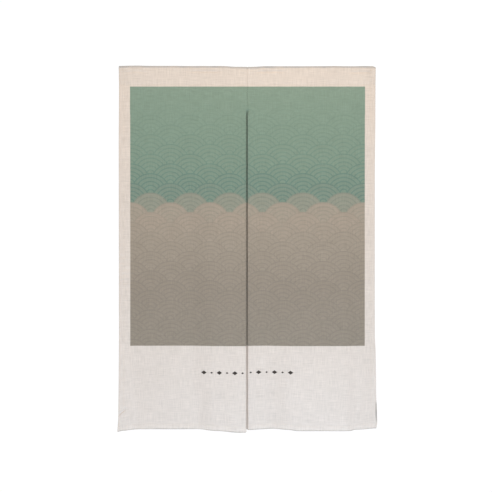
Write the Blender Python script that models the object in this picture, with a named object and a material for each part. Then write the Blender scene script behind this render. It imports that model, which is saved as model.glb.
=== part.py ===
"""Doorway curtain of two cotton-linen cloths, sewn together above a centre slit, with a rod pocket on top.

Metres, +Z up. The front faces -Y, and +X is to the viewer's right. The origin is on the rod's axis, at the
middle of the curtain's width. The rod is no part of the curtain: the pocket keeps the shape that it gives.
Each side is one cloth. It runs up the front, over the rod, and down the back to just below the stitch line
of the pocket. Its side hems, slit hem, bottom hem and the turned edge at the back are second layers on its
wrong side. The stitch line parts it into its half of the pocket, the heading, and its hanging length, the
panel.
"""

import bisect
import math

import bmesh
import bpy

# Sizes of the whole curtain as it hangs
HUNG_WIDTH = 0.846
HUNG_LENGTH = 1.200
POCKET_DEPTH = 0.062  # top fold to the stitch line
SLIT_TOP = 0.139  # top fold to the top of the slit
ROD_RADIUS = 0.008  # the rod that the pocket is shaped on

# Cloth and hems
CLOTH_THICKNESS = 0.0012
HEM_THICKNESS = 2 * CLOTH_THICKNESS
SIDE_HEM = 0.018
SLIT_HEM = 0.012
BOTTOM_HEM = 0.018
FLAP_HEM = 0.008  # turned edge of the pocket's back
FLAP_TAIL = 0.004  # the pocket's back goes on below the stitch line
HEM_STEP = 0.0015  # width over which a hem's second layer starts
LAYER_GAP = 0.0003  # between layers and pieces that are sewn together

# The slit: the left panel laps over the right one
LAP_SHIFT = 0.0025  # each edge's reach past the centreline
LAP_FORWARD = 0.0010  # left edge, towards the viewer
LAP_BACK = 0.0036  # right edge, away from the viewer
LAP_EASE = 0.030  # width over which an edge leaves the panel's own surface
PART_LENGTH = 0.030  # the edges part in depth over this length below the slit's top
LAP_LENGTH = 0.070  # and only then move across each other, over this length

# Shared places
SIDES = {"left": -1, "right": 1}
ARC_RADIUS = ROD_RADIUS + CLOTH_THICKNESS  # the cloth's face where it goes over the rod
TOP = ARC_RADIUS  # height of the top fold above the origin
STITCHED_DEPTH = 2 * HEM_THICKNESS + LAYER_GAP  # face to face through the pocket's stitch line
MIDDLE = 0.60  # the drop at which the fold tables give their middle depth

# Mesh steps
FOLD_STEP = 0.020  # across a panel
DROP_STEP = 0.040  # down a panel
ARC_STEPS = 8
WALL_STEPS = 4

# Each row is the line of one crest or trough, from the rod to the hem.
# columns: across at the rod, across at the hem, forward at the middle, forward at the hem
LEFT_FOLDS = (
    (-0.4230, -0.4265, 0.0030, 0.0140),
    (-0.3850, -0.3550, -0.0030, -0.0080),
    (-0.2300, -0.1750, -0.0060, -0.0100),
    (-0.1300, -0.1050, 0.0040, 0.0060),
    (-0.0550, -0.0300, 0.0030, 0.0120),
    (0.0000, 0.0000, 0.0000, 0.0100),
)
RIGHT_FOLDS = (
    (0.0000, 0.0000, 0.0000, 0.0010),
    (0.0600, 0.0750, -0.0030, -0.0090),
    (0.1700, 0.1550, 0.0040, 0.0070),
    (0.3000, 0.3250, 0.0050, 0.0080),
    (0.3600, 0.3650, -0.0020, -0.0020),
    (0.4230, 0.4265, -0.0080, -0.0130),
)

# The hem hangs unevenly. columns: across, drop below the nominal hem
LEFT_HEM_LINE = (
    (-0.4265, 0.0006),
    (-0.3600, -0.0037),
    (-0.1650, -0.0037),
    (-0.1150, -0.0007),
    (-0.0300, 0.0034),
    (0.0000, 0.0034),
)
RIGHT_HEM_LINE = (
    (0.0000, -0.0023),
    (0.0750, -0.0043),
    (0.1600, -0.0012),
    (0.3350, -0.0012),
    (0.3600, -0.0037),
    (0.4265, -0.0057),
)
HEM_LINE_START = 0.930  # the drop below which the unevenness grows

# The outer edges waver. columns: drop, shift to the right
LEFT_EDGE = (
    (0.060, 0.0),
    (0.250, -0.0008),
    (0.520, 0.0008),
    (0.760, 0.0),
    (0.880, 0.0019),
    (1.035, 0.0),
    (1.150, -0.0003),
    (1.200, -0.0035),
)
RIGHT_EDGE = (
    (0.090, -0.0004),
    (0.167, -0.0022),
    (0.330, -0.0028),
    (0.760, -0.0026),
    (0.955, 0.0013),
    (1.155, 0.0058),
    (1.180, 0.0052),
    (1.200, 0.0010),
)

# The top fold dips at the middle and at its ends. columns: across, rise
TOP_LINE = (
    (-0.4230, 0.0),
    (-0.3650, 0.0017),
    (-0.3300, 0.0005),
    (-0.0700, 0.0005),
    (-0.0150, -0.0020),
    (0.0300, -0.0014),
    (0.0650, 0.0),
    (0.4100, 0.0),
    (0.4230, -0.0028),
)

CLOTH_COLOUR = (0.745, 0.665, 0.585, 1.0)
CLOTH_ROUGHNESS = 0.9


def clamp(value):
    return min(max(value, 0.0), 1.0)


def ease(value):
    """0 to 1 with level ends."""
    t = clamp(value)
    return t * t * (3 - 2 * t)


def through(rows, at):
    """The value at a place, on the smooth curve that is level at each (place, value) row."""
    places = [row[0] for row in rows]
    i = min(max(bisect.bisect_right(places, at), 1), len(rows) - 1)
    (start, low), (end, high) = rows[i - 1], rows[i]
    return low + (high - low) * ease((at - start) / (end - start))


def forward(folds, across, drop):
    """How far the folds bring the cloth towards the viewer, at a place across and a drop from the top."""
    if drop <= POCKET_DEPTH:
        return 0.0
    share = drop / HUNG_LENGTH
    rows = []
    for at_rod, at_hem, middle, hem in folds:
        depths = ((POCKET_DEPTH, 0.0), (MIDDLE, middle), (HUNG_LENGTH, hem))
        rows.append((at_rod + (at_hem - at_rod) * share, through(depths, drop)))
    return through(rows, across)


def panel_stations():
    """The places up the hanging length, from the hem to the pocket's stitch line: side and drop."""
    hem_top = HUNG_LENGTH - BOTTOM_HEM
    places = [("front", HUNG_LENGTH), ("front", hem_top), ("front", hem_top - HEM_STEP)]
    start, end = hem_top - HEM_STEP, SLIT_TOP + LAP_LENGTH
    count = round((start - end) / DROP_STEP)
    places += [("front", start + (end - start) * i / count) for i in range(1, count + 1)]
    above = (SLIT_TOP + PART_LENGTH, SLIT_TOP, (SLIT_TOP + POCKET_DEPTH) / 2, POCKET_DEPTH + LAYER_GAP / 2)
    places += [("front", drop) for drop in above]
    return places


def heading_stations():
    """The places round the pocket, up its front, over the rod and down its back: side and drop or angle."""
    start = POCKET_DEPTH - LAYER_GAP / 2
    places = [("front", start - (start - ARC_RADIUS) * i / WALL_STEPS) for i in range(WALL_STEPS)]
    places += [("arc", math.pi * (1 - i / ARC_STEPS)) for i in range(ARC_STEPS + 1)]
    turned = POCKET_DEPTH + FLAP_TAIL - FLAP_HEM
    fall = turned - HEM_STEP - ARC_RADIUS
    places += [("back", ARC_RADIUS + fall * i / WALL_STEPS) for i in range(1, WALL_STEPS + 1)]
    places += [("back", turned), ("back", POCKET_DEPTH + FLAP_TAIL)]
    return places


def profile(side, value):
    """Depth and drop of the cloth's face at a station, before its folds."""
    if side == "arc":
        return ARC_RADIUS * math.cos(value), ARC_RADIUS * (1 - math.sin(value))
    share = clamp((value - ARC_RADIUS) / (POCKET_DEPTH - ARC_RADIUS))
    outward = -1 if side == "front" else 1
    reach = ARC_RADIUS + (STITCHED_DEPTH / 2 - ARC_RADIUS) * share
    return outward * reach, value


def cloth_point(hand, station, share):
    """A point of the cloth's face. hand is -1 on the left, 1 on the right; share is 0 at the outer edge."""
    depth, drop = profile(*station)
    on_front = station[0] == "front"
    left = hand < 0
    edge_line = LEFT_EDGE if left else RIGHT_EDGE
    outer = hand * HUNG_WIDTH / 2 + through(edge_line, drop)
    lapped = ease((drop - SLIT_TOP - PART_LENGTH) / (LAP_LENGTH - PART_LENGTH)) if on_front else 0.0
    inner = hand * LAYER_GAP / 2 - hand * (LAP_SHIFT + LAYER_GAP / 2) * lapped
    across = outer + (inner - outer) * share
    height = TOP - drop
    height += through(TOP_LINE, across) * (1 - ease(drop / POCKET_DEPTH))
    if on_front:
        folds = LEFT_FOLDS if left else RIGHT_FOLDS
        depth -= forward(folds, across, drop)
        hem_line = LEFT_HEM_LINE if left else RIGHT_HEM_LINE
        low = ease((drop - HEM_LINE_START) / (HUNG_LENGTH - HEM_LINE_START))
        height -= through(hem_line, across) * low
        parted = ease((drop - SLIT_TOP) / PART_LENGTH)
        near_slit = 1 - ease(abs(across - inner) / LAP_EASE)
        depth += (-LAP_FORWARD if left else LAP_BACK) * parted * near_slit
    return across, depth, height


def columns():
    """Shares of a panel's width, from its outer edge to the slit, with the hems' inner edges among them."""
    width = HUNG_WIDTH / 2
    outer_side = [0.0, SIDE_HEM / 2, SIDE_HEM, SIDE_HEM + HEM_STEP]
    slit_side = [SLIT_HEM + HEM_STEP, SLIT_HEM, SLIT_HEM / 2, 0.0]
    start, end = outer_side[-1], width - slit_side[0]
    count = round((end - start) / FOLD_STEP)
    between = [start + (end - start) * i / count for i in range(1, count)]
    places = outer_side + between + [width - place for place in slit_side]
    return [place / width for place in places]


def is_hem(station, share):
    """Whether the cloth is doubled at a place."""
    side, value = station
    width = HUNG_WIDTH / 2
    tolerance = HEM_STEP / 10
    at_side = share * width <= SIDE_HEM + tolerance
    at_slit = (1 - share) * width <= SLIT_HEM + tolerance
    at_bottom = side == "front" and value >= HUNG_LENGTH - BOTTOM_HEM - tolerance
    at_flap = side == "back" and value >= POCKET_DEPTH + FLAP_TAIL - FLAP_HEM - tolerance
    return at_side or at_slit or at_bottom or at_flap


def cloth_material():
    material = bpy.data.materials.new("cotton_linen")
    material.use_nodes = True
    shader = material.node_tree.nodes["Principled BSDF"]
    shader.inputs["Base Color"].default_value = CLOTH_COLOUR
    shader.inputs["Roughness"].default_value = CLOTH_ROUGHNESS
    shader.inputs["Metallic"].default_value = 0.0
    return material


def cloth(name, hand, places, parent):
    """A length of cloth, laid out as a grid along its stations, with its layers on the wrong side."""
    shares = columns()
    if hand > 0:
        shares = shares[::-1]
    mesh = bpy.data.meshes.new(name)
    obj = bpy.data.objects.new(name, mesh)
    obj.parent = parent
    obj.location.x = hand * HUNG_WIDTH / 2
    hem_group = obj.vertex_groups.new(name="hem")

    grid = bmesh.new()
    bmesh.ops.create_grid(grid, x_segments=len(shares) - 1, y_segments=len(places) - 1, size=1)
    weights = grid.verts.layers.deform.verify()
    for vert in grid.verts:
        column = round((vert.co.x + 1) / 2 * (len(shares) - 1))
        row = round((vert.co.y + 1) / 2 * (len(places) - 1))
        across, depth, height = cloth_point(hand, places[row], shares[column])
        vert.co = across - obj.location.x, depth, height
        vert[weights][hem_group.index] = float(is_hem(places[row], shares[column]))
    grid.to_mesh(mesh)
    grid.free()
    mesh.shade_smooth()

    layers = obj.modifiers.new("layers", "SOLIDIFY")
    layers.thickness = HEM_THICKNESS
    layers.offset = -1
    layers.vertex_group = hem_group.name
    layers.thickness_vertex_group = CLOTH_THICKNESS / HEM_THICKNESS
    mesh.materials.append(cloth_material())
    bpy.context.scene.collection.objects.link(obj)
    return obj


def main():
    for obj in list(bpy.data.objects):
        bpy.data.objects.remove(obj)
    rod_line = bpy.data.objects.new("rod_line", None)
    bpy.context.scene.collection.objects.link(rod_line)
    for side, hand in SIDES.items():
        cloth(f"heading_{side}", hand, heading_stations(), rod_line)
        cloth(f"panel_{side}", hand, panel_stations(), rod_line)


main()
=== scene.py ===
# %% [markdown]
# A doorway curtain of this kind is two lengths of cotton-linen cloth. They are sewn edge to edge at the
# top, hang open below as a slit, and have a pocket for a rod along the top. This lesson keeps the order of
# the sewing room: each cloth is cut flat, its edges are folded as hems, its top is turned over the rod, and
# the rest hangs in slight folds. The curtain's plain solids are loaded first, and say where everything
# goes.

# %% Load the plain solids
import math

import bpy
import numpy as np
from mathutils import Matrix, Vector, noise


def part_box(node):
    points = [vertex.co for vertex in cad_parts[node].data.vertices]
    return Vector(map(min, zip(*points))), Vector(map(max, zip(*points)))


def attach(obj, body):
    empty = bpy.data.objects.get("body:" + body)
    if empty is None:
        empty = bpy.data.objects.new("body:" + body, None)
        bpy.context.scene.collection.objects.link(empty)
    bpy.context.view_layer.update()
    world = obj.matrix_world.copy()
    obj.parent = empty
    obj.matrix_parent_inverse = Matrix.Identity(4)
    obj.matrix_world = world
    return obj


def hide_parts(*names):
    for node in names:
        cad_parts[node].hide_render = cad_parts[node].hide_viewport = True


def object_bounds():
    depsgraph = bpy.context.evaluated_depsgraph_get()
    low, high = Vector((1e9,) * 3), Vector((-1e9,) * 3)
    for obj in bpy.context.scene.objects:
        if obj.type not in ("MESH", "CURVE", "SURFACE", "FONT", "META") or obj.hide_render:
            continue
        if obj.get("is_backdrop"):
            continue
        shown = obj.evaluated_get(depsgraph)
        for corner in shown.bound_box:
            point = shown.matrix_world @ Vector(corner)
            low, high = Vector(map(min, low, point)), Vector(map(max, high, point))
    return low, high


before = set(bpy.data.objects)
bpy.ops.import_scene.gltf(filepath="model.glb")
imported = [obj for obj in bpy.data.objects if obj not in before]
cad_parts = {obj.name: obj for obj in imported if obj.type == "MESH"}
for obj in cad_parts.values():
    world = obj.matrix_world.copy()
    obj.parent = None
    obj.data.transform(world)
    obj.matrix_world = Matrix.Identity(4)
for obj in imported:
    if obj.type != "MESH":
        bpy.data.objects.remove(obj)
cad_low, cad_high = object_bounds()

MM = 0.001
print("curtain solids:", ", ".join(sorted(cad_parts)))
print("size in mm:", [round((high - low) / MM) for low, high in zip(cad_low, cad_high)])

# %% [markdown]
# The pocket's sizes are read from the solids: it is as deep, front to back, as the heading's box, and its
# stitch line is where the heading ends and the hanging cloth begins. The hems are real sizes: 18 mm at the
# sides and the bottom, 12 mm at the slit, each folded twice so that no raw edge shows.

# %% Sizes of the curtain
heading_low, heading_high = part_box("heading_left")
ARC_RADIUS = (heading_high.y - heading_low.y) / 2
TOP = ARC_RADIUS  # the origin is on the rod's axis, so the top fold is this high
STITCH_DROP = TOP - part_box("panel_left")[1].z
FLAP_DROP = TOP - heading_low.z
HALF_WIDTH = 423 * MM
LENGTH = 1200 * MM
SLIT_DROP = 139 * MM
STITCHED_DEPTH = 5.1 * MM  # face to face through the stitch line, where hems lie on hems

CLOTH = 0.45 * MM
SIDE_HEM = 18 * MM
SLIT_HEM = 12 * MM
BOTTOM_HEM = 18 * MM
FLAP_HEM = 8 * MM
TUCK = 7 * MM  # how much of a hem's raw edge is folded in
STITCH_INSET = 1.5 * MM  # from a hem's inner fold to its line of stitches
HEM_STITCH_DROP = LENGTH - BOTTOM_HEM + STITCH_INSET
LAYER = CLOTH + 0.1 * MM  # from one folded layer to the next
HEM_DEPTH = 2 * LAYER + CLOTH  # three layers, face to face
FLAP_DEPTH = LAYER + CLOTH  # two layers
SEAM_GAP = 0.02 * MM
print("below the top fold, mm: stitch line", round(STITCH_DROP / MM, 1), "flap", round(FLAP_DROP / MM, 1))

# %% [markdown]
# Cloth never hangs quite flat. Each row of the fold tables, in millimetres, is the line of one crest or
# trough: its place at the rod and at the hem, and how far it stands forward half way down and at the hem.
# One small function makes a smooth curve through such rows, as a sum of eased steps. It also shapes the
# wavering edges, the hem line and the dips of the top fold.

# %% Fold tables and the curve through them
MIDDLE_DROP = 600 * MM


def in_metres(*rows):
    """The rows of a table that is written in millimetres."""
    return [tuple(value * MM for value in row) for row in rows]


# columns: across at the rod, across at the hem, forward at the middle, forward at the hem
LEFT_FOLDS = in_metres(
    (-423, -426.5, 3, 14),
    (-385, -355, -3, -8),
    (-230, -175, -6, -10),
    (-130, -105, 4, 6),
    (-55, -30, 3, 12),
    (0, 0, 0, 10),
)
RIGHT_FOLDS = in_metres(
    (0, 0, 0, 1),
    (60, 75, -3, -9),
    (170, 155, 4, 7),
    (300, 325, 5, 8),
    (360, 365, -2, -2),
    (423, 426.5, -8, -13),
)
# columns: across, drop below the nominal hem
LEFT_HEM_LINE = in_metres(
    (-426.5, -0.6), (-405, -3), (-370, -4.5), (-310, -4.8), (-250, -4.2), (-165, -4.6), (-115, -1.9),
    (-30, 3), (0, 3.1),
)
RIGHT_HEM_LINE = in_metres(
    (0, -2.3), (60, -4.3), (104, -6.8), (144, -5.4), (175, -1.4), (342, -1.4), (356, -4.2),
    (426.5, -6.2),
)
HEM_LINE_START = 930 * MM
# columns: drop, shift to the right
LEFT_EDGE = in_metres(
    (60, 1.3), (250, 0.6), (520, 1), (760, 1.6), (880, 2.3), (1035, 1.8), (1150, 0.8), (1200, -1.9),
)
RIGHT_EDGE = in_metres(
    (60, -1.7), (167, -2), (330, -3.2), (760, -3), (880, -2.4), (955, 0.6), (1060, 2.1), (1150, 4.9),
    (1180, 6), (1200, 3),
)
# columns: across, rise of the top fold
TOP_LINE = in_metres(
    (-423, 0), (-365, 1.7), (-330, 0.5), (-95, 0.2), (-30, -2.5), (25, -2.8), (60, -0.6), (410, -0.5),
    (423, -4),
)
SIDES = {
    "left": {"hand": -1, "folds": LEFT_FOLDS, "hem_line": LEFT_HEM_LINE, "edge": LEFT_EDGE},
    "right": {"hand": 1, "folds": RIGHT_FOLDS, "hem_line": RIGHT_HEM_LINE, "edge": RIGHT_EDGE},
}


def ease(value):
    """A smooth step from 0 to 1 while the value goes from 0 to 1."""
    t = np.clip(value, 0, 1)
    return t * t * (3 - 2 * t)


def through(places, values, at):
    """The value at a place, on the smooth curve that is level at each of the given places."""
    total = values[0] + 0 * at
    for i in range(len(places) - 1):
        total = total + (values[i + 1] - values[i]) * ease((at - places[i]) / (places[i + 1] - places[i]))
    return total


def forward(folds, across, drop):
    """How far the folds bring the cloth towards the viewer."""
    places, depths = [], []
    for at_rod, at_hem, middle, hem in folds:
        places.append(at_rod + (at_hem - at_rod) * drop / LENGTH)
        depths.append(through((STITCH_DROP, MIDDLE_DROP, LENGTH), (0.0, middle, hem), drop))
    return through(places, depths, across)


check_across = np.linspace(-0.42, 0.0, 4)
print("left cloth forward at the hem, mm:", np.round(forward(LEFT_FOLDS, check_across, LENGTH) / MM, 1))

# %% [markdown]
# Small creases are what tells cloth from card. They follow causes: the rod presses a crease into the pocket
# below itself, a stitch line puckers the cloth beside it, the seam pulls both folded edges back, and the
# free edges ripple. Here they are soft troughs listed one by one, and a slow noise adds the uneven surface of
# washed cloth.

# %% Creases
# columns: from, to (across), drop, trough depth: pressed in by the rod
ROD_CREASES = in_metres(
    (-200, -80, 19.5, 2.2),
    (25, 128, 19.5, 2.2),
    (335, 408, 21, 1.9),
    (-410, -330, 21.5, 1.2),
)
# columns: across, drop, run across, run down, half width, trough depth: short slanting creases
SLANT_CREASES = in_metres(
    (-411, 1137.5, 26, -19, 2.8, 3.8),
    (-410, 1018, 14, -12, 3.2, 1),
    (-398, 1098, 30, 40, 8, 0.8),
    (-405, 655, 34, 10, 6, 0.7),
    (-30, 172, 30, 55, 7, 0.8),
    (28, 180, -24, 60, 8, 0.8),
    (398, 1060, -30, 70, 9, 0.9),
    (-190, 1020, 18, 110, 13, 1.2),
    (115, 1030, -10, 120, 14, 1.2),
    (270, 900, 20, 180, 18, 1),
    (-290, 480, -20, 200, 20, 1),
    (200, 330, 26, 170, 18, 0.9),
)
# columns: depth, size of the waves, squeeze down the cloth, seed: the uneven surface of washed cloth
WASHED = ((0.9 * MM, 75 * MM, 0.45, 3.1), (0.35 * MM, 30 * MM, 0.7, 7.7))
ROD_CREASE_WIDTH = 2.8 * MM
ROD_CREASE_LEVEL = 0.6  # share of a crease's length at its full depth
PUCKER_PITCH = 15 * MM
PUCKER_WIDTH = 7 * MM
PUCKER_DEPTH = 0.45 * MM
PUCKER_DRIFT = 2.5  # radians by which the waves of the puckers wander,
PUCKER_DRIFT_SIZE = 50 * MM  # over about this length
SEAM_DIP = 0.9 * MM
SEAM_DIP_WIDTH = 2.2 * MM
RIPPLE = {"across": -0.405, "width": 0.03, "drop": 0.672, "half_run": 0.115, "pitch": 0.021, "depth": 0.0008}


def smooth_noise(across, drop, size, seed):
    """Slow noise from -1 to 1 over the cloth, with waves of about a given size."""
    flat = np.stack([across.ravel() / size, drop.ravel() / size], axis=1)
    values = [noise.noise(Vector((u, v, seed))) for u, v in flat]
    return np.array(values).reshape(across.shape)


def puckers(along, drift, away, waves, dip):
    """Rise beside a line of stitches: waves along it in a dip, each as a share of the depth."""
    wave = np.sin(2 * math.pi * along / PUCKER_PITCH + PUCKER_DRIFT * drift)
    return PUCKER_DEPTH * np.exp(-((away / PUCKER_WIDTH) ** 2)) * (waves * wave - dip)


def creases(across, drop, from_outer, from_slit):
    """How far the small creases bring the face towards the viewer. Troughs are negative."""
    rise = 0 * drop
    for depth, size, squeeze, seed in WASHED:
        rise = rise + depth * smooth_noise(across, drop * squeeze, size, seed)
    for start, end, at_drop, depth in ROD_CREASES:
        middle, half = (start + end) / 2, (end - start) / 2
        along = 1 - ease((abs(across - middle) / half - ROD_CREASE_LEVEL) / (1 - ROD_CREASE_LEVEL))
        rise -= depth * along * np.exp(-(((drop - at_drop) / ROD_CREASE_WIDTH) ** 2))
    for at, at_drop, run_across, run_down, half_width, depth in SLANT_CREASES:
        run = math.hypot(run_across, run_down)
        along = ((across - at) * run_across + (drop - at_drop) * run_down) / run
        aside = ((across - at) * run_down - (drop - at_drop) * run_across) / run
        rise -= depth * np.exp(-((along / (0.5 * run)) ** 4)) * np.exp(-((aside / half_width) ** 2))
    drift = smooth_noise(across, drop, PUCKER_DRIFT_SIZE, 1.3)
    for away in (from_outer - SIDE_HEM, from_slit - SLIT_HEM):
        rise += puckers(drop, drift, away, waves=0.5, dip=0.6)
    drift = smooth_noise(across, drop, PUCKER_DRIFT_SIZE, 5.3)
    for line_drop in (STITCH_DROP, LENGTH - BOTTOM_HEM):
        rise += puckers(across, drift, drop - line_drop, waves=0.6, dip=0.7)
    rise -= SEAM_DIP * np.exp(-((from_slit / SEAM_DIP_WIDTH) ** 2))
    rippled = np.exp(-(((across - RIPPLE["across"]) / RIPPLE["width"]) ** 2))
    rippled = rippled * (1 - ease(abs(drop - RIPPLE["drop"]) / RIPPLE["half_run"]))
    return rise + RIPPLE["depth"] * rippled * np.sin(2 * math.pi * drop / RIPPLE["pitch"])


print("creases placed by hand:", len(ROD_CREASES) + len(SLANT_CREASES))

# %% [markdown]
# A hem folded twice has a simple section. Walk from the face towards the edge, round a small half circle to
# the back, inwards to the hem's width, round a smaller half circle, and a little way back with the raw edge
# hidden inside. The function below says where each step of that walk lies, in from the folded edge and
# behind the face. It serves all the hems and the pocket's turned edge.

# %% Section of a hem
FOLD_STEPS = 6


def hem_walk(width, depth, tuck, cell=5 * MM):
    """Steps of the turned part of a hem, from its folded edge on: (run along the cloth, inward, behind)."""
    outer = depth / 2
    steps = []
    for i in range(1, FOLD_STEPS + 1):
        turn = math.pi * i / FOLD_STEPS
        steps.append((outer * turn, outer - outer * math.sin(turn), outer - outer * math.cos(turn)))
    inner = (depth - LAYER) / 2
    straight = width - outer - (inner if tuck else 0)
    count = max(2, round(straight / cell))
    run = math.pi * outer
    for i in range(1, count + 1):
        steps.append((run + straight * i / count, outer + straight * i / count, depth))
    if not tuck:
        return steps
    run += straight
    for i in range(1, FOLD_STEPS):
        turn = math.pi * i / (FOLD_STEPS - 1)
        inward, behind = width - inner + inner * math.sin(turn), depth - inner + inner * math.cos(turn)
        steps.append((run + inner * turn, inward, behind))
    run += math.pi * inner
    count = max(1, round(tuck / cell))
    for i in range(1, count + 1):
        steps.append((run + tuck * i / count, width - inner - tuck * i / count, LAYER))
    return steps


walk = hem_walk(SIDE_HEM, HEM_DEPTH, TUCK)
print("side hem:", len(walk), "steps over", round(walk[-1][0] / MM, 1), "mm of turned cloth")

# %% [markdown]
# Seen from the side, the hanging cloth's face climbs the front, passes over the rod as a half circle, and
# comes down behind to the stitch line. One function turns a place on the flat cloth into a place in the
# room. It is given a region of that path, how far along it, how far in from the outer edge, and how far
# behind the face, which is where a hem's folded layers lie.
#
# Below the seam the two slit hems turn back, as stiff hems do, and leave a narrow groove that looks dark
# from the front. At the back of it the right hem passes behind the left one, so nothing shows through. A
# small table gives this section, as shifts from the flat cloth. The hems part first and cross only below
# that, so that they never cut through each other.

# %% Shape of the hanging cloth
# columns: distance from the hem's folded edge, shift across, shift back, then both once the hems have crossed
SLIT_SECTIONS = {
    -1: in_metres(
        (0, -3.1, 11.7, -3.1, 11.7),
        (11.9, 7.3, 0, 7.3, 0),
        (422.8, 0, 0, 0, 0),
    ),
    1: in_metres(
        (0, -3.8, 17.2, -5.1, 14.6),
        (6.2, -5.6, 12.2, -5.6, 12.2),
        (18.5, -16.6, 0, -16.6, 0),
        (400, 0, 0, 0, 0),
    ),
}
ROUNDING = 1.7 * MM  # how far a turn in the section is spread each way
SLOPE_STEP = 0.2 * MM  # between the two places that give the section's slope
NEAR_SLIT = 30 * MM  # the creases fade out this near to the open slit
PART_LENGTH = 24 * MM  # the hems part over this length below the seam,
LAP_START = 2 * MM  # begin to cross a little further down,
LAP_LENGTH = 32 * MM  # and have crossed here
GROWN_FROM = 0.7  # the groove starts at this share of its width, and deepens from nothing
EDGE_EASE = 36 * MM  # the wavering of the outer edge dies out this far in
LOW_DIP = 5 * MM  # near the hem the right cloth falls back beside the slit, into the left one's shade
LOW_DIP_WIDTH = 30 * MM
LOW_DIP_LENGTH = 190 * MM
LOW_DIP_GROWS = 0.7  # share of that length, to its full depth
FLAP_FACE = -0.9 * MM  # depth of the pocket's back at the stitch line, and more where hems lie under it
FLAP_FACE_AT_HEMS = 1.3 * MM
WIDTH = HALF_WIDTH - SEAM_GAP / 2
HEM_CLEARANCE = 1 * MM  # past a hem's inner fold, cloth that lies over it starts to come down,
HEM_DESCENT = 6 * MM  # and is down this much further on


def hem_stack(inward):
    """1 where a side or slit hem lies behind the face, 0 in the plain cloth."""
    past_hems = (inward - SIDE_HEM, WIDTH - inward - SLIT_HEM)
    return np.maximum(*(1 - ease((past - HEM_CLEARANCE) / HEM_DESCENT) for past in past_hems))


def slit_section(hand, from_slit, parted, lapped):
    """Shifts across and back of the cloth near the slit, with rounded turns."""
    distance, across, back, lapped_across, lapped_back = np.array(SLIT_SECTIONS[hand]).T
    shifts = np.zeros((2,) + from_slit.shape)
    steps = np.linspace(-ROUNDING, ROUNDING, 7)
    weights = np.cos(steps / ROUNDING * math.pi / 2.6)  # the outermost weigh a third of the middle one
    grown = np.maximum(parted, GROWN_FROM)
    for step, weight in zip(steps, weights / weights.sum()):
        at = (from_slit + step) / grown
        for i, (apart, crossed) in enumerate(((across, lapped_across), (back, lapped_back))):
            open_shift = np.interp(at, distance, apart)
            crossed_shift = np.interp(at, distance, crossed)
            shifts[i] += weight * parted * (open_shift + lapped * (crossed_shift - open_shift))
    return shifts


def hang(side, region, value, inward, behind):
    """Places in the room of places on the cloth, as an array whose last axis is x, y, z."""
    hand = side["hand"]
    value, inward, behind = np.broadcast_arrays(value, inward, behind)
    if region == "arc":
        drop = ARC_RADIUS * (1 - np.sin(value))
        depth = ARC_RADIUS * np.cos(value)
        inner_y, inner_z = -np.cos(value), -np.sin(value)
    else:
        drop = value
        down = np.clip((drop - ARC_RADIUS) / (STITCH_DROP - ARC_RADIUS), 0, 1)
        stitched = -STITCHED_DEPTH / 2 + 0 * drop
        if region == "back":
            stitched = FLAP_FACE + (FLAP_FACE_AT_HEMS - FLAP_FACE) * hem_stack(inward)
        start = ARC_RADIUS if region == "back" else -ARC_RADIUS
        depth = start + (stitched - start) * down
        tilt = np.arctan2(abs(stitched - start), STITCH_DROP - ARC_RADIUS) * (down < 1)
        inner_y = np.cos(tilt) * (-1 if region == "back" else 1)
        inner_z = np.sin(tilt)
    wavering = through(*zip(*side["edge"]), drop) * (1 - ease(inward / EDGE_EASE))
    across = hand * (HALF_WIDTH - inward) + wavering
    layer_x, layer_y = 0.0, inner_y  # the way to the layers behind, which turns with the slit hem
    height = TOP - drop + through(*zip(*TOP_LINE), across) * (1 - ease(drop / STITCH_DROP))
    rise = creases(across, drop, inward, WIDTH - inward)
    if region == "front":
        below = drop > STITCH_DROP
        depth = depth - forward(side["folds"], across, drop) * below
        low = ease((drop - HEM_LINE_START) / (LENGTH - HEM_LINE_START))
        height = height - through(*zip(*side["hem_line"]), across) * low
        parted = ease((drop - SLIT_DROP) / PART_LENGTH)
        lapped = ease((drop - SLIT_DROP - LAP_START) / (LAP_LENGTH - LAP_START))
        from_slit = WIDTH - inward
        shift = slit_section(hand, from_slit, parted, lapped)
        slope = (slit_section(hand, from_slit + SLOPE_STEP, parted, lapped) - shift) / SLOPE_STEP
        turn_x, turn_y = -hand * slope[1], 1 + hand * slope[0]
        length = np.hypot(turn_x, turn_y)
        layer_x, layer_y = turn_x / length, inner_y * turn_y / length
        across = across + shift[0]
        depth = depth + shift[1]
        if hand > 0:
            grown = ease((drop - LENGTH + LOW_DIP_LENGTH) / (LOW_DIP_GROWS * LOW_DIP_LENGTH))
            depth = depth + LOW_DIP * grown * np.exp(-((from_slit / LOW_DIP_WIDTH) ** 2))
        rise = rise * (1 - parted * (1 - ease(from_slit / NEAR_SLIT)))
    if region == "back":  # at the stitch line the back moves with the front that it is sewn to
        rise = rise * (1 - 2 * down)
    across = across + behind * layer_x
    depth = depth + behind * layer_y - rise * inner_y
    height = height + (behind - rise) * inner_z
    return np.stack([across, depth, height], axis=-1)


sample = hang(SIDES["left"], "front", MIDDLE_DROP, np.array([0.1, 0.3]), 0.0)
print("two places on the left cloth, mm:", np.round(sample / MM, 1).tolist())

# %% [markdown]
# Each cloth starts as a flat grid, cut to the cloth's whole size: the part that shows, the turned hems, and
# the pocket's back. The grid's rows and columns are then moved to the places that matter, close together
# round the folds and creases. The corners where a bottom hem would cross a side hem are trimmed away, as a
# sewer does to keep the corner flat. The flat places are kept as a UV map in metres, so that the weave and
# the print follow the cloth wherever it goes. Last, every point is hung by the function above.

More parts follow.
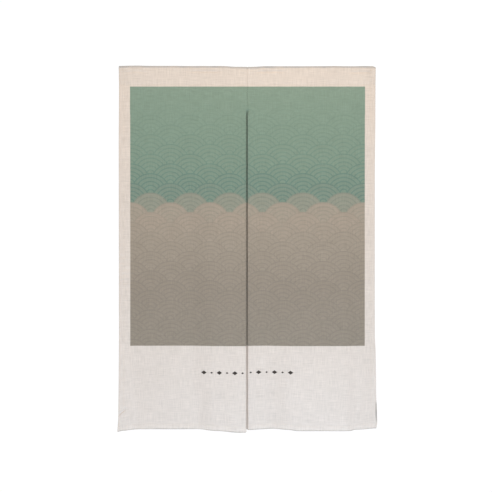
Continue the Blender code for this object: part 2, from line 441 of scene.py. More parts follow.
# %% Cut and hang the cloths
CELL = 5 * MM
EDGE_CELL = 2 * MM  # along the outer edge, where small creases are
EDGE_STRETCH = 30 * MM
LOW_CELL = 2.5 * MM  # and above the hem
LOW_STRETCH = 90 * MM
FINE_CELL = 1.1 * MM  # where the slit hem turns back, over the length below
BEND_LENGTH = 22 * MM
WALL_CELL = 2 * MM  # on the pocket's front, where the rod's creases are
ARC_CELLS = 12


def spaced(start, end, cell):
    """Even steps of about a cell from a start up to an end, without the end."""
    count = round(abs(end - start) / cell)
    return [start + (end - start) * i / count for i in range(count)]


def column_places():
    """Columns from the outer edge to the slit: flat place, inward from the edge, behind, turned or not."""
    side_walk = hem_walk(SIDE_HEM, HEM_DEPTH, TUCK)
    slit_walk = hem_walk(SLIT_HEM, HEM_DEPTH, TUCK - 2 * MM, FINE_CELL)
    first, bend, last = HEM_DEPTH / 2, WIDTH - BEND_LENGTH, WIDTH - HEM_DEPTH / 2
    edge = first + EDGE_STRETCH
    face = spaced(first, edge, EDGE_CELL) + spaced(edge, bend, CELL) + spaced(bend, last, FINE_CELL) + [last]
    columns = [(first - run, inward, behind, True) for run, inward, behind in reversed(side_walk)]
    columns += [(inward, inward, 0.0, False) for inward in face]
    columns += [(last + run, WIDTH - inward, behind, True) for run, inward, behind in slit_walk]
    return columns


def row_places():
    """Rows from the hem up and over: flat place, region, value, behind, over hems, turned or not."""
    rows = []
    hem_fold = LENGTH - HEM_DEPTH / 2
    for run, inward, behind in reversed(hem_walk(BOTTOM_HEM, HEM_DEPTH, TUCK)):
        over = min(1, run / (math.pi * HEM_DEPTH / 2))
        rows.append((-hem_fold - run, "front", LENGTH - inward, behind, over, True))
    low = hem_fold - LOW_STRETCH
    drops = spaced(hem_fold, low, LOW_CELL) + spaced(low, STITCH_DROP, CELL)
    for drop in drops + spaced(STITCH_DROP, ARC_RADIUS, WALL_CELL):
        rows.append((-drop, "front", drop, 0.0, 0.0, False))
    for i in range(ARC_CELLS + 1):
        turn = math.pi * (1 - i / ARC_CELLS)
        rows.append((-ARC_RADIUS + ARC_RADIUS * (math.pi - turn), "arc", turn, 0.0, 0.0, False))
    behind_start = rows[-1][0] - ARC_RADIUS
    flap_fold = FLAP_DROP - FLAP_DEPTH / 2
    for drop in spaced(ARC_RADIUS, flap_fold, CELL)[1:] + [flap_fold]:
        rows.append((behind_start + drop, "back", drop, 0.0, 0.0, False))
    flap_end = rows[-1][0]
    for run, inward, behind in hem_walk(FLAP_HEM, FLAP_DEPTH, 0):
        over = min(1, run / (math.pi * FLAP_DEPTH / 2))
        rows.append((flap_end + run, "back", FLAP_DROP - inward, behind, over, True))
    return rows


def cut_cloth(name, side):
    """A flat grid, trimmed at its corners, with its flat places as UVs, hung by its rows and columns."""
    columns, rows = column_places(), row_places()
    if side["hand"] > 0:
        columns = columns[::-1]
    bpy.ops.mesh.primitive_grid_add(x_subdivisions=len(columns) - 1, y_subdivisions=len(rows) - 1, size=1)
    cloth = bpy.context.active_object
    cloth.name = cloth.data.name = name
    mesh = cloth.data
    places = np.array([vertex.co[:] for vertex in mesh.vertices])
    column = np.rint((places[:, 0] + 0.5) * (len(columns) - 1)).astype(int)
    row = np.rint((places[:, 1] + 0.5) * (len(rows) - 1)).astype(int)

    flat_in, inward, behind, side_turned = (np.array(part) for part in zip(*columns))
    flat_across = side["hand"] * (HALF_WIDTH - flat_in)
    flat_up = np.array([entry[0] for entry in rows])
    hung = np.empty((len(rows), len(columns), 3))
    for j, (_, region, value, row_behind, over, _) in enumerate(rows):
        stack = row_behind + behind + 2 * LAYER * hem_stack(inward) * over
        hung[j] = hang(side, region, np.full(len(columns), float(value)), inward, stack)
    mesh.vertices.foreach_set("co", hung[row, column].astype(np.float32).ravel())

    uv = mesh.uv_layers[0]
    uv.name = "flat_cloth"
    corner = np.array([loop.vertex_index for loop in mesh.loops])
    flat = np.stack([flat_across[column[corner]], flat_up[row[corner]]], axis=1)
    uv.data.foreach_set("uv", flat.astype(np.float32).ravel())

    row_turned = np.array([entry[5] for entry in rows])
    trimmed = side_turned[column] & row_turned[row]
    bpy.ops.object.mode_set(mode="EDIT")
    bpy.ops.mesh.select_mode(type="VERT")
    bpy.ops.mesh.select_all(action="DESELECT")
    bpy.ops.object.mode_set(mode="OBJECT")
    mesh.vertices.foreach_set("select", trimmed)
    bpy.ops.object.mode_set(mode="EDIT")
    bpy.ops.mesh.delete(type="VERT")
    bpy.ops.object.mode_set(mode="OBJECT")
    bpy.ops.object.shade_smooth()
    cloth["flat_size"] = (float(np.ptp(flat_in)), float(np.ptp(flat_up)))
    return cloth


cloths = {name: cut_cloth(f"cloth_{name}", side) for name, side in SIDES.items()}
for name, cloth in cloths.items():
    cut_to = [round(v / MM) for v in cloth["flat_size"]]
    print(name, "cloth:", len(cloth.data.polygons), "cells, cut to", cut_to, "mm")

# %% [markdown]
# A material starts from what the real one is. This cloth is an unbleached plain weave of cotton and linen:
# matt, slightly fuzzy, with thick and thin yarns called slubs that show as short streaks both ways. Three
# helpers serve all the materials: they turn an sRGB hex colour into Blender's linear numbers, make an empty
# material, and add a node with its settings and links.

# %% Colour and node helpers
UNBLEACHED = "#C9BFB7"


def linear(code):
    """The linear colour of an sRGB hex code such as "#E4D7C8"."""
    parts = [int(code[i : i + 2], 16) / 255 for i in (1, 3, 5)]
    return [part / 12.92 if part <= 0.04045 else ((part + 0.055) / 1.055) ** 2.4 for part in parts] + [1.0]


def empty_material(name):
    """A material without nodes, and its node tree."""
    material = bpy.data.materials.new(name)
    material.use_nodes = True
    material.node_tree.nodes.clear()
    return material, material.node_tree


def add(tree, kind, inputs, **settings):
    """Adds a node. Each input is a value, or another node or socket to link from."""
    node = tree.nodes.new("ShaderNode" + kind)
    for name, value in settings.items():
        setattr(node, name, value)
    for socket, value in inputs.items():
        if isinstance(value, bpy.types.Node):
            value = next(output for output in value.outputs if output.enabled)
        if isinstance(value, bpy.types.NodeSocket):
            tree.links.new(value, node.inputs[socket])
        else:
            node.inputs[socket].default_value = value
    return node


print("unbleached cloth, linear:", np.round(linear(UNBLEACHED), 3).tolist())

# %% [markdown]
# The weave has about 14 yarns to the centimetre, too fine to show from three metres, so it is drawn twice
# as coarse, as a bump of crossing yarns. The slubs are drawn at their real size: streaks about 2 mm thick
# and 40 mm long, made by a noise that is squeezed one way and stretched the other. They lighten and darken
# the cloth by a tenth at most, and raise it a little.

# %% Weave and slubs
YARN = 1.4 * MM  # twice the real spacing
SLUB_THICK = 2.2 * MM
SLUB_LONG = 38 * MM
SLUB_SHADE = 0.105
PATCH = 120 * MM  # a slow change of shade
PATCH_SHADE = 0.015
YARN_HEIGHT = 0.35  # of the crossing yarns, beside that of a slub


def weave_of(tree, across, up):
    """Nodes of the weave: (shade to multiply a colour by, height of the surface)."""
    streaks = []
    for thick, long, offset in ((across, up, 0.0), (up, across, 40.0)):
        squeezed = add(tree, "Math", {0: thick, 1: 1 / SLUB_THICK}, operation="MULTIPLY")
        stretched = add(tree, "Math", {0: long, 1: 1 / SLUB_LONG}, operation="MULTIPLY")
        place = add(tree, "CombineXYZ", {"X": squeezed, "Y": stretched, "Z": offset})
        streak = add(tree, "TexNoise", {"Vector": place, "Scale": 1.0, "Detail": 2.0, "Roughness": 0.55})
        streaks.append(streak)
    slubs = add(tree, "Math", {0: streaks[0], 1: streaks[1]}, operation="ADD")
    place = add(tree, "CombineXYZ", {"X": across, "Y": up})
    patches = add(tree, "TexNoise", {"Vector": place, "Scale": 1 / PATCH, "Detail": 3.0})
    # one noise lies mostly between 0.3 and 0.7, and the sum of two between 0.7 and 1.3
    shade = add(tree, "MapRange", {"Value": slubs, 1: 0.7, 2: 1.3, 3: 1 - SLUB_SHADE, 4: 1 + SLUB_SHADE})
    wear = add(tree, "MapRange", {"Value": patches, 1: 0.3, 2: 0.7, 3: 1 - PATCH_SHADE, 4: 1 + PATCH_SHADE})
    shade = add(tree, "Math", {0: shade, 1: wear}, operation="MULTIPLY")
    yarns = []
    for along in (across, up):
        turn = add(tree, "Math", {0: along, 1: math.pi / YARN}, operation="MULTIPLY")
        yarns.append(add(tree, "Math", {0: turn}, operation="SINE"))
    crossing = add(tree, "Math", {0: yarns[0], 1: yarns[1]}, operation="MULTIPLY")
    height = add(tree, "Math", {0: crossing, 1: YARN_HEIGHT, 2: slubs}, operation="MULTIPLY_ADD")
    return shade, height


print("yarn", round(YARN / MM, 1), "mm, slubs", round(SLUB_THICK / MM, 1), "by", round(SLUB_LONG / MM), "mm")

# %% [markdown]
# The face is printed with a block that stops short of the edges. It is filled with overlapping wave
# scallops, a traditional pattern, in colours that pass row by row from sage green at the top to taupe at
# the bottom. The pattern is worked out for each point: of the three rows of circles that may cover it, the
# lowest row that does is in front, and the distance to that circle's centre draws the rings. Below the
# block runs a small row of lozenges.

# %% The printed block
PRINT_SOFT = 0.4 * MM  # the dye spreads this far each way at the block's edges
BLOCK_ACROSS = (-385.4 * MM, 387 * MM, PRINT_SOFT)
BLOCK_UP = (-920 * MM, -67.8 * MM, PRINT_SOFT)
SCALLOP = 64 * MM  # radius of a wave's outer ring
RINGS = 5
RING_LINE = 0.26  # share of each ring's width that is drawn
RING_SOFT = 0.08
# columns: share of the block's height from its top, ground colour, line colour
PRINT_COLOURS = (
    (0.00, "#798C7F", "#7E9183"),
    (0.19, "#778B7D", "#718679"),
    (0.34, "#748779", "#698074"),
    (0.44, "#6E8175", "#5F786E"),
    (0.53, "#988C7F", "#91877A"),
    (0.62, "#92887B", "#8C8276"),
    (0.82, "#887E72", "#82796E"),
    (1.00, "#867D71", "#81786D"),
)
INK = "#3A332F"
ROW_START, ROW_PITCH, ROW_UP = -160 * MM, 25 * MM, -1008 * MM  # of the lozenges
ROW_BAND = (15 * MM, 165 * MM, 0.2 * MM)  # from the middle, with softness
LARGE_LOZENGE, SMALL_LOZENGE = 6.5 * MM, 3.2 * MM  # half their height
SLIMNESS = 0.72


def between(tree, value, low, high, soft):
    """1 where a value lies between two limits, with edges a little soft."""
    rise = add(tree, "MapRange", {"Value": value, 1: low - soft, 2: low + soft})
    fall = add(tree, "MapRange", {"Value": value, 1: high - soft, 2: high + soft, 3: 1.0, 4: 0.0})
    return add(tree, "Math", {0: rise, 1: fall}, operation="MULTIPLY")


def rectangle(tree, across, up, across_band, up_band):
    """1 inside a rectangle of the flat cloth. Each band is from, to and softness."""
    inside = {0: between(tree, across, *across_band), 1: between(tree, up, *up_band)}
    return add(tree, "Math", inside, operation="MULTIPLY")


def scallops(tree, across, up):
    """Nodes of the wave pattern: (distance from the front circle's centre in radii, that circle's height)."""
    rise = SCALLOP / 2
    level = add(tree, "Math", {0: up, 1: 1 / rise}, operation="MULTIPLY")
    width = add(tree, "Math", {0: across, 1: 1 / SCALLOP}, operation="MULTIPLY")
    lowered = add(tree, "Math", {0: level, 1: 2.0}, operation="SUBTRACT")
    lowest = add(tree, "Math", {0: lowered}, operation="CEIL")
    reaches, rows = [], []
    for step in range(3):
        row = add(tree, "Math", {0: lowest, 1: float(step)}, operation="ADD")
        above = add(tree, "Math", {0: level, 1: row}, operation="SUBTRACT")
        above = add(tree, "Math", {0: above, 1: 0.5}, operation="MULTIPLY")
        shift = add(tree, "Math", {0: row, 1: 2.0}, operation="FLOORED_MODULO")
        aside = add(tree, "Math", {0: width, 1: shift}, operation="SUBTRACT")
        aside = add(tree, "Math", {0: aside, 1: 1.0, 2: -1.0}, operation="WRAP")
        place = add(tree, "CombineXYZ", {"X": aside, "Y": above})
        reaches.append(add(tree, "VectorMath", {0: place}, operation="LENGTH"))
        rows.append(row)
    reach, row = reaches[2], rows[2]
    for step in (1, 0):
        covers = add(tree, "Math", {0: reaches[step], 1: 1.0}, operation="LESS_THAN")
        reach = add(tree, "Mix", {0: covers, 2: reach, 3: reaches[step]})
        row = add(tree, "Mix", {0: covers, 2: row, 3: rows[step]})
    height = add(tree, "Math", {0: row, 1: rise}, operation="MULTIPLY")
    return reach, height


def colour_ramp(tree, share, column):
    ramp = add(tree, "ValToRGB", {"Fac": share})
    stops = ramp.color_ramp.elements
    while len(stops) < len(PRINT_COLOURS):
        stops.new(1.0)
    for stop, row in zip(stops, PRINT_COLOURS):
        stop.position = row[0]
        stop.color = linear(row[column])
    return ramp


def printed(tree, across, from_middle, up, ground):
    """The cloth's colour with the block and the lozenges printed over it."""
    reach, height = scallops(tree, across, up)
    share = add(tree, "MapRange", {"Value": height, 1: BLOCK_UP[1], 2: BLOCK_UP[0]})
    ring = add(tree, "Math", {0: reach, 1: float(RINGS)}, operation="MULTIPLY")
    ring = add(tree, "Math", {0: ring}, operation="FRACT")
    line = add(tree, "MapRange", {"Value": ring, 1: 1 - RING_LINE - RING_SOFT, 2: 1 - RING_LINE})
    grounds, lines = colour_ramp(tree, share, 1), colour_ramp(tree, share, 2)
    block = add(tree, "Mix", {0: line, 6: grounds, 7: lines}, data_type="RGBA")
    inside = rectangle(tree, across, up, BLOCK_ACROSS, BLOCK_UP)
    colour = add(tree, "Mix", {0: inside, 6: ground, 7: block}, data_type="RGBA")

    steps = add(tree, "Math", {0: across, 1: ROW_START}, operation="SUBTRACT")
    steps = add(tree, "Math", {0: steps, 1: 1 / ROW_PITCH}, operation="MULTIPLY")
    number = add(tree, "Math", {0: steps}, operation="FLOOR")
    large = add(tree, "Math", {0: number, 1: 2.0}, operation="FLOORED_MODULO")
    size = add(tree, "MapRange", {"Value": large, 3: LARGE_LOZENGE, 4: SMALL_LOZENGE})
    offset = add(tree, "Math", {0: steps, 1: number}, operation="SUBTRACT")
    offset = add(tree, "Math", {0: offset, 1: 0.5}, operation="SUBTRACT")
    offset = add(tree, "Math", {0: offset}, operation="ABSOLUTE")
    aside = add(tree, "Math", {0: offset, 1: ROW_PITCH * SLIMNESS}, operation="MULTIPLY")
    away = add(tree, "Math", {0: up, 1: ROW_UP}, operation="SUBTRACT")
    away = add(tree, "Math", {0: away}, operation="ABSOLUTE")
    span = add(tree, "Math", {0: aside, 1: away}, operation="ADD")
    spare = add(tree, "Math", {0: size, 1: span}, operation="SUBTRACT")
    lozenge = add(tree, "MapRange", {"Value": spare, 1: -0.3 * MM, 2: 0.3 * MM})
    row = between(tree, from_middle, *ROW_BAND)
    lozenge = add(tree, "Math", {0: lozenge, 1: row}, operation="MULTIPLY")
    return add(tree, "Mix", {0: lozenge, 6: colour, 7: linear(INK)}, data_type="RGBA")


print("the block, mm:", [round((band[1] - band[0]) / MM) for band in (BLOCK_ACROSS, BLOCK_UP)])

# %% [markdown]
# Now the curtain's materials, each named for the real one. The cloth needs two, because the print is on one
# side only: the dye goes some way through, so the wrong side shows it pale. Where cloth lies on cloth, at
# the pocket's ends, less light comes through it, and a painted shade makes it a little darker. A thin painted
# shade also runs along each line of stitches, where the cloth is pulled in, and the bottom hem's band is
# painted a little lighter. Along the folded edges, painted grey shade darkens the cloth where it turns away
# from the light. These marks are placed on the flat cloth, through the UV map kept from the cutting.

# %% Cloth, thread and floor materials
# painted shade along each line of stitches
STITCH_LINE_PAINTED_SHADE = 0.93
# painted shade where cloth lies on cloth at the pocket's ends, as less light comes through
DOUBLED_PAINTED_SHADE = 0.965
# painted light: the bottom hem's band is painted a little lighter
HEM_BAND_PAINTED_LIGHT = 1.035
# painted shade along the folded edges, where the cloth turns away from the light: bluish grey at the top fold
PAINTED_SHADE_TOP = "#82909F"
PAINTED_SHADE_EDGES = "#918B85"
PAINTED_SHADE_LEAST, PAINTED_SHADE_MOST = 0.25, 0.6  # share of grey, from patch to patch
PAINTED_SHADE_PATCH = 45 * MM
FADED = 0.62  # how far the wrong side's print is faded
SEWN_HALF = 0.6 * MM  # half the width of the shade along a line of stitches
SEWN_SOFT = 0.9 * MM
# columns: from, to, softness of both ends, on the flat cloth
TOP_FOLD = (-7.6 * MM, 9 * MM, 2.2 * MM)
BOTTOM_FOLD = (-LENGTH - 4 * MM, -LENGTH + 2.6 * MM, 0.8 * MM)
SIDE_FOLDS = (HALF_WIDTH - 1.8 * MM, HALF_WIDTH + 4 * MM, 0.8 * MM)
BOTTOM_BAND = (-LENGTH - 5 * MM, -LENGTH + BOTTOM_HEM, 0.6 * MM)
# across and up: the right cloth's low outer edge, the pocket's ends
LOW_EDGE = (HALF_WIDTH - 4.6 * MM, HALF_WIDTH + 4 * MM, 1.2 * MM), (-1176 * MM, -1112 * MM, 8 * MM)
POCKET_ENDS = (390 * MM, 460 * MM, 0.6 * MM), (-STITCH_DROP, -3 * MM, 1.5 * MM)


def stitch_lines(tree, from_middle, up):
    """1 on the sewn lines of the flat cloth, 0 away from them."""
    lines = []
    side_line = HALF_WIDTH - SIDE_HEM + STITCH_INSET
    for value, line in ((from_middle, side_line), (up, -STITCH_DROP), (up, -HEM_STITCH_DROP)):
        lines.append(between(tree, value, line - SEWN_HALF, line + SEWN_HALF, SEWN_SOFT))
    both = add(tree, "Math", {0: lines[0], 1: lines[1]}, operation="MAXIMUM")
    return add(tree, "Math", {0: both, 1: lines[2]}, operation="MAXIMUM")


def painted_edge_shade(tree, across, from_middle, up, colour):
    """The cloth's colour, greyed by painted shade along the folded edges: most at the top fold, less along
    other edges.
    """
    shaded_part = between(tree, up, *TOP_FOLD)
    edges = (
        (between(tree, up, *BOTTOM_FOLD), 1.5),
        (between(tree, from_middle, *SIDE_FOLDS), 0.35),
        (rectangle(tree, across, up, *LOW_EDGE), 1.8),
    )
    for edge, share in edges:
        edge = add(tree, "Math", {0: edge, 1: share}, operation="MULTIPLY")
        shaded_part = add(tree, "Math", {0: shaded_part, 1: edge}, operation="MAXIMUM")
    place = add(tree, "CombineXYZ", {"X": across, "Y": up})
    uneven = add(tree, "TexNoise", {"Vector": place, "Scale": 1 / PAINTED_SHADE_PATCH, "Detail": 3.0})
    uneven = add(tree, "MapRange", {"Value": uneven, 1: 0.3, 2: 0.7, 3: PAINTED_SHADE_LEAST, 4: PAINTED_SHADE_MOST})
    share = add(tree, "Math", {0: shaded_part, 1: uneven}, operation="MULTIPLY")
    top = add(tree, "MapRange", {"Value": up, 1: -40 * MM, 2: -20 * MM})  # 1 at the top fold, 0 below it
    grey = add(tree, "Mix", {0: top, 6: linear(PAINTED_SHADE_EDGES), 7: linear(PAINTED_SHADE_TOP)}, data_type="RGBA")
    return add(tree, "Mix", {0: share, 6: colour, 7: grey}, data_type="RGBA")


def weave_and_painted_shade(tree, from_middle, up, weave_shade):
    """The weave's shade, times painted shade at sewn lines and doubled places and painted light on the hem
    band.
    """
    marks = (
        (stitch_lines(tree, from_middle, up), STITCH_LINE_PAINTED_SHADE),
        (rectangle(tree, from_middle, up, *POCKET_ENDS), DOUBLED_PAINTED_SHADE),
        (between(tree, up, *BOTTOM_BAND), HEM_BAND_PAINTED_LIGHT),
    )
    shade = weave_shade
    for mark, full in marks:
        part = add(tree, "MapRange", {"Value": mark, 3: 1.0, 4: full})
        shade = add(tree, "Math", {0: shade, 1: part}, operation="MULTIPLY")
    return shade


def cloth_material(name, wrong_side):
    material, tree = empty_material(name)
    flat = add(tree, "UVMap", {}, uv_map="flat_cloth")
    parts = add(tree, "SeparateXYZ", {0: flat})
    across, up = parts.outputs["X"], parts.outputs["Y"]
    from_middle = add(tree, "Math", {0: across}, operation="ABSOLUTE")
    weave_shade, height = weave_of(tree, across, up)
    colour = printed(tree, across, from_middle, up, linear(UNBLEACHED))
    if wrong_side:
        colour = add(tree, "Mix", {0: FADED, 6: colour, 7: linear(UNBLEACHED)}, data_type="RGBA")
    else:
        # painted shade along the folded edges
        colour = painted_edge_shade(tree, across, from_middle, up, colour)
    # the weave's tone, with painted shade at the stitches and the pocket's ends, and painted light on the hem
    # band
    shade = weave_and_painted_shade(tree, from_middle, up, weave_shade)
    colour = add(tree, "VectorMath", {0: colour, "Scale": shade}, operation="SCALE")
    bump = add(tree, "Bump", {"Height": height, "Strength": 0.55, "Distance": 0.35 * MM})
    matt = {"Roughness": 0.9, "IOR": 1.45, "Specular IOR Level": 0.25}
    fuzz = {"Sheen Weight": 0.12, "Sheen Roughness": 0.5}  # cotton lights up at grazing angles
    surface = add(tree, "BsdfPrincipled", {"Base Color": colour, "Normal": bump, **matt, **fuzz})
    add(tree, "OutputMaterial", {"Surface": surface})
    return material


def mottled(tree, dark, light, scale, detail):
    """A colour that wanders between two, by a noise on the object's own places, and those places."""
    place = add(tree, "TexCoord", {}).outputs["Object"]
    uneven = add(tree, "TexNoise", {"Vector": place, "Scale": scale, "Detail": detail})
    return add(tree, "Mix", {0: uneven, 6: linear(dark), 7: linear(light)}, data_type="RGBA"), place


def thread_material():
    material, tree = empty_material("cotton_sewing_thread")
    colour, place = mottled(tree, "#D3C4B1", "#E2D6C6", 1 / (4 * MM), 2.0)
    # the twist of the thread, at its real pitch of about half a millimetre
    twist = add(tree, "TexNoise", {"Vector": place, "Scale": 1 / (0.5 * MM)})
    bump = add(tree, "Bump", {"Height": twist, "Strength": 0.4, "Distance": 0.1 * MM})
    fuzz = {"Roughness": 0.75, "Sheen Weight": 0.1}
    surface = add(tree, "BsdfPrincipled", {"Base Color": colour, "Normal": bump, **fuzz})
    add(tree, "OutputMaterial", {"Surface": surface})
    return material


def floor_material():
    material, tree = empty_material("matt_white_floor_paint")
    colour, _ = mottled(tree, "#E9E8E6", "#F1F0EE", 6.0, 3.0)
    surface = add(tree, "BsdfPrincipled", {"Base Color": colour, "Roughness": 0.8})
    add(tree, "OutputMaterial", {"Surface": surface})
    return material


face_of_cloth = cloth_material("cotton_linen_plain_weave_printed_face", wrong_side=False)
back_of_cloth = cloth_material("cotton_linen_plain_weave_wrong_side", wrong_side=True)
thread_of_cotton = thread_material()
white_floor = floor_material()
print("materials:", len(bpy.data.materials), "and nodes on the face:", len(face_of_cloth.node_tree.nodes))

# %% [markdown]
# The cloth gets its thickness last, from Solidify. The sheet that was hung is the cloth's right side, so
# the modifier builds inwards, to the wrong side, and gives that side the second material. Applied, the two
# layers and the raw edges are one closed skin.

# %% Thickness of the cloth
for name, cloth in cloths.items():
    cloth.data.materials.append(face_of_cloth)
    cloth.data.materials.append(back_of_cloth)
    bpy.context.view_layer.objects.active = cloth
    thickness = cloth.modifiers.new("thickness", "SOLIDIFY")
    thickness.thickness = CLOTH
    thickness.offset = -1
    thickness.material_offset = 1
    thickness.material_offset_rim = 1
    bpy.ops.object.modifier_apply(modifier="thickness")
    cloth.data.calc_loop_triangles()
    front_faces = [face for face in cloth.data.polygons if face.material_index == 0]
    towards = sum(face.normal.y < 0 for face in front_faces) / len(front_faces)
    print(name, "cloth:", len(cloth.data.loop_triangles), "triangles")
    print("  share of its right side that faces the front:", round(towards, 2))

# %% [markdown]
# Sewing thread shows as short stitches with small gaps, where the needle goes through. One stitch is
# modelled, a five-sided rod a third of a millimetre thick with its ends chamfered, and copied along every
# sewn line. The pocket, the side hems and the bottom hem are sewn right through, and show their stitches on
# both sides. The slit hems and the seam between the cloths are sewn blind, by hand from the back, so the
# printed face stays clean.

# %% One stitch
STITCH = 3.0 * MM
STITCH_PITCH = 3.6 * MM
THREAD = 0.36 * MM
CHAMFER = 0.14 * MM
STANDS_OFF = 0.3 * THREAD  # from the cloth to a stitch's middle
bpy.ops.mesh.primitive_cylinder_add(vertices=5, radius=THREAD / 2, depth=STITCH, end_fill_type="NGON")
stitch = bpy.context.active_object
bpy.ops.object.mode_set(mode="EDIT")
bpy.ops.mesh.select_mode(type="FACE")
bpy.ops.mesh.select_all(action="DESELECT")
bpy.ops.object.mode_set(mode="OBJECT")
for face in stitch.data.polygons:
    face.select = abs(face.normal.z) > 0.9
bpy.ops.object.mode_set(mode="EDIT")
bpy.ops.mesh.bevel(offset=CHAMFER, segments=1)
bpy.ops.object.mode_set(mode="OBJECT")
stitch_points = np.array([vertex.co[:] for vertex in stitch.data.vertices])
stitch_faces = [list(face.vertices) for face in stitch.data.polygons]
bpy.data.objects.remove(stitch)
print("one stitch:", len(stitch_points), "points,", len(stitch_faces), "faces")

# %% [markdown]
# To lay a stitch in the cloth's surface, its place is hung together with two near neighbours, one further
# down the cloth and one further in. They give the direction of the line and the direction straight out of
# the cloth.

# %% Sewing along a line
NEIGHBOUR = 0.5 * MM


def sew(side, region, drops, inwards, behind, down_the_cloth, outward):
    """Points of the copies of the stitch, one copy for each place on the cloth."""
    drops, inwards, behind = np.broadcast_arrays(np.asarray(drops, float), inwards, behind)
    centre = hang(side, region, drops, inwards, behind)
    down = hang(side, region, drops + NEIGHBOUR, inwards, behind) - centre
    inner = hang(side, region, drops, inwards + NEIGHBOUR, behind) - centre
    out = side["hand"] * outward * np.cross(inner, down)
    out /= np.linalg.norm(out, axis=1)[:, None]
    run = down if down_the_cloth else inner
    run /= np.linalg.norm(run, axis=1)[:, None]
    aside = np.cross(out, run)
    x, y, z = stitch_points.T
    points = centre[:, None, :] + z[None, :, None] * run[:, None, :]
    points += x[None, :, None] * aside[:, None, :] + (y + STANDS_OFF)[None, :, None] * out[:, None, :]
    return points.reshape(-1, 3)


def stitch_places(start, end, pitch=STITCH_PITCH):
    """Middles of the stitches between two ends of a line."""
    count = int((end - start) / pitch)
    return start + (np.arange(count) + 0.5) * (end - start) / count


def sew_cloth(name, side):
    """All the stitches of a cloth as one piece."""
    side_line, slit_line = SIDE_HEM - STITCH_INSET, WIDTH - SLIT_HEM + STITCH_INSET
    below = stitch_places(STITCH_DROP + 1 * MM, LENGTH - BOTTOM_HEM)
    pocket = stitch_places(ARC_RADIUS + 1 * MM, STITCH_DROP - 1 * MM)
    inwards = stitch_places(1 * MM, WIDTH - 1 * MM)
    over_hems = HEM_DEPTH + 2 * LAYER * hem_stack(inwards)
    # columns: region, drop, inward, behind, down the cloth or not, out to the front (1) or to the back (-1)
    lines = [
        ("front", below, side_line, 0, True, 1),
        ("front", pocket, side_line, 0, True, 1),
        ("back", pocket, side_line, 0, True, -1),
        ("front", below, side_line, HEM_DEPTH, True, -1),
        ("front", below, slit_line, HEM_DEPTH, True, -1),
        ("front", STITCH_DROP + 0.1 * MM, inwards, 0, False, 1),
        ("back", STITCH_DROP - 0.1 * MM, inwards, 0, False, -1),
        ("front", HEM_STITCH_DROP, inwards, 0, False, 1),
        ("front", HEM_STITCH_DROP, inwards, over_hems, False, -1),
    ]
    if side["hand"] < 0:  # the seam, sewn once for both cloths
        seam = stitch_places(STITCH_DROP + 2 * MM, SLIT_DROP - 1 * MM, 4 * MM)
        lines.append(("front", seam, WIDTH + SEAM_GAP / 2, HEM_DEPTH, False, -1))
    points = np.concatenate([sew(side, *line) for line in lines])
    copies = len(points) // len(stitch_points)
    faces = [[i + k * len(stitch_points) for i in face] for k in range(copies) for face in stitch_faces]
    mesh = bpy.data.meshes.new(name)
    mesh.from_pydata(points.tolist(), [], faces)
    mesh.materials.append(thread_of_cotton)
    thread = bpy.data.objects.new(name, mesh)
    bpy.context.collection.objects.link(thread)
    print(name, "has", copies, "stitches")
    return thread


threads = {name: sew_cloth(f"thread_{name}", side) for name, side in SIDES.items()}

# %% [markdown]
# Each piece is tied to the model now. It rides on the one body and takes the place of its plain solids.
# The size each cloth was cut to, kept on it while cutting, is taken off again.

# %% Tie the pieces to the model
for name, cloth in cloths.items():
    thread = threads[name]
    for piece in (cloth, thread):
        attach(piece, "root")
    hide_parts(f"heading_{name}", f"panel_{name}")
    del cloth["flat_size"]
print("pieces:", [piece.name for pair in (cloths, threads) for piece in pair.values()])

# %% [markdown]
# The curtain hangs in a plain bright room: a pale floor as far below the rod as in a real doorway, white
# walls that give light from all round, and a darker ceiling, which leaves the top fold in a little shade.
# Two large soft lamps stand in front, a warm one above and a cool one below, so the cloth looks creamier at
# the top than at the hem.

# %% Floor and light
FLOOR_DROP = 1.95
FLOOR_RADIUS = 1.9
WALLS = 1.03  # brightness
CEILING = 0.55  # the same, straight up or down
WALLS_END, CEILING_STARTS = 0.34, 0.95  # sine of the angle from level
LAMP_SIZE = 0.9
floor_place = (0, 0, TOP - FLOOR_DROP)
bpy.ops.mesh.primitive_circle_add(vertices=96, radius=FLOOR_RADIUS, fill_type="NGON", location=floor_place)
floor = bpy.context.active_object
floor.name = "floor"
floor.data.materials.append(white_floor)
floor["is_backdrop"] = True

world = bpy.data.worlds.new("white_room")
bpy.context.scene.world = world
world.use_nodes = True
room = world.node_tree
room.nodes.clear()
direction = add(room, "TexCoord", {}).outputs["Generated"]
upward = add(room, "SeparateXYZ", {0: direction}).outputs["Z"]
steepness = add(room, "Math", {0: upward}, operation="ABSOLUTE")
rise = {"Value": steepness, 1: WALLS_END, 2: CEILING_STARTS, 3: WALLS, 4: CEILING}
brightness = add(room, "MapRange", rise)
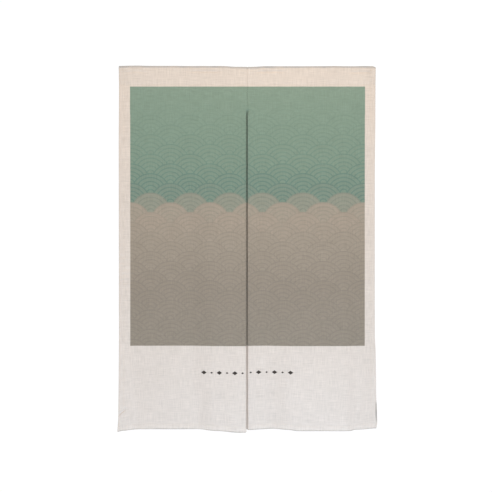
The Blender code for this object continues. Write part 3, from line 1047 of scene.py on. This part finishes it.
walls = add(room, "Background", {"Color": linear("#FFFFFF"), "Strength": brightness})
add(room, "OutputWorld", {"Surface": walls})


def soft_lamp(name, place, target, power, colour):
    bpy.ops.object.light_add(type="AREA", location=place)
    lamp = bpy.context.active_object
    lamp.name = name
    lamp.data.shape = "DISK"
    lamp.data.size = LAMP_SIZE
    lamp.data.energy = power
    lamp.data.color = linear(colour)[:3]
    lamp.rotation_euler = (Vector(target) - Vector(place)).to_track_quat("-Z", "Y").to_euler()


soft_lamp("warm_lamp", place=(0.2, -1.3, 0.75), target=(0.0, 0.0, -0.05), power=10.9, colour="#FFDFAC")
soft_lamp("cool_lamp", place=(0.22, -1.2, -1.85), target=(0.02, 0.0, -1.15), power=20.0, colour="#C4E2FF")
print("floor", FLOOR_DROP, "m below the top fold;", len(bpy.data.lights), "lamps")

# %% [markdown]
# The camera stands three metres in front, level with the middle of the cloth. Its lens is worked out from
# the width of the view at the cloth. The Standard view keeps the pale cloth's colours as they are, with no
# film curve.

# %% Camera and view
CAMERA_DISTANCE = 3.0
CAMERA_ACROSS = -4.27 * MM
CAMERA_DROP = 591.7 * MM
VIEW_WIDTH = 1.6178
camera_data = bpy.data.cameras.new("camera")
camera = bpy.data.objects.new("camera", camera_data)
bpy.context.collection.objects.link(camera)
camera.location = (CAMERA_ACROSS, -CAMERA_DISTANCE, TOP - CAMERA_DROP)
camera.rotation_euler = (math.pi / 2, 0.0, 0.0)
camera_data.lens = camera_data.sensor_width * CAMERA_DISTANCE / VIEW_WIDTH
bpy.context.scene.camera = camera
bpy.context.scene.view_settings.view_transform = "Standard"
print("lens:", round(camera_data.lens, 1), "mm")

# %% [markdown]
# Last, the size of the dressed curtain is printed beside the size of the plain solids. The cloth may
# stand a little proud of them, but not much.

# %% Sizes, and the end
dressed_low, dressed_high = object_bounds()
for label, plain, dressed in (("low", cad_low, dressed_low), ("high", cad_high, dressed_high)):
    print(label, "corner, mm:", [round(v / MM, 1) for v in plain], "and", [round(v / MM, 1) for v in dressed])
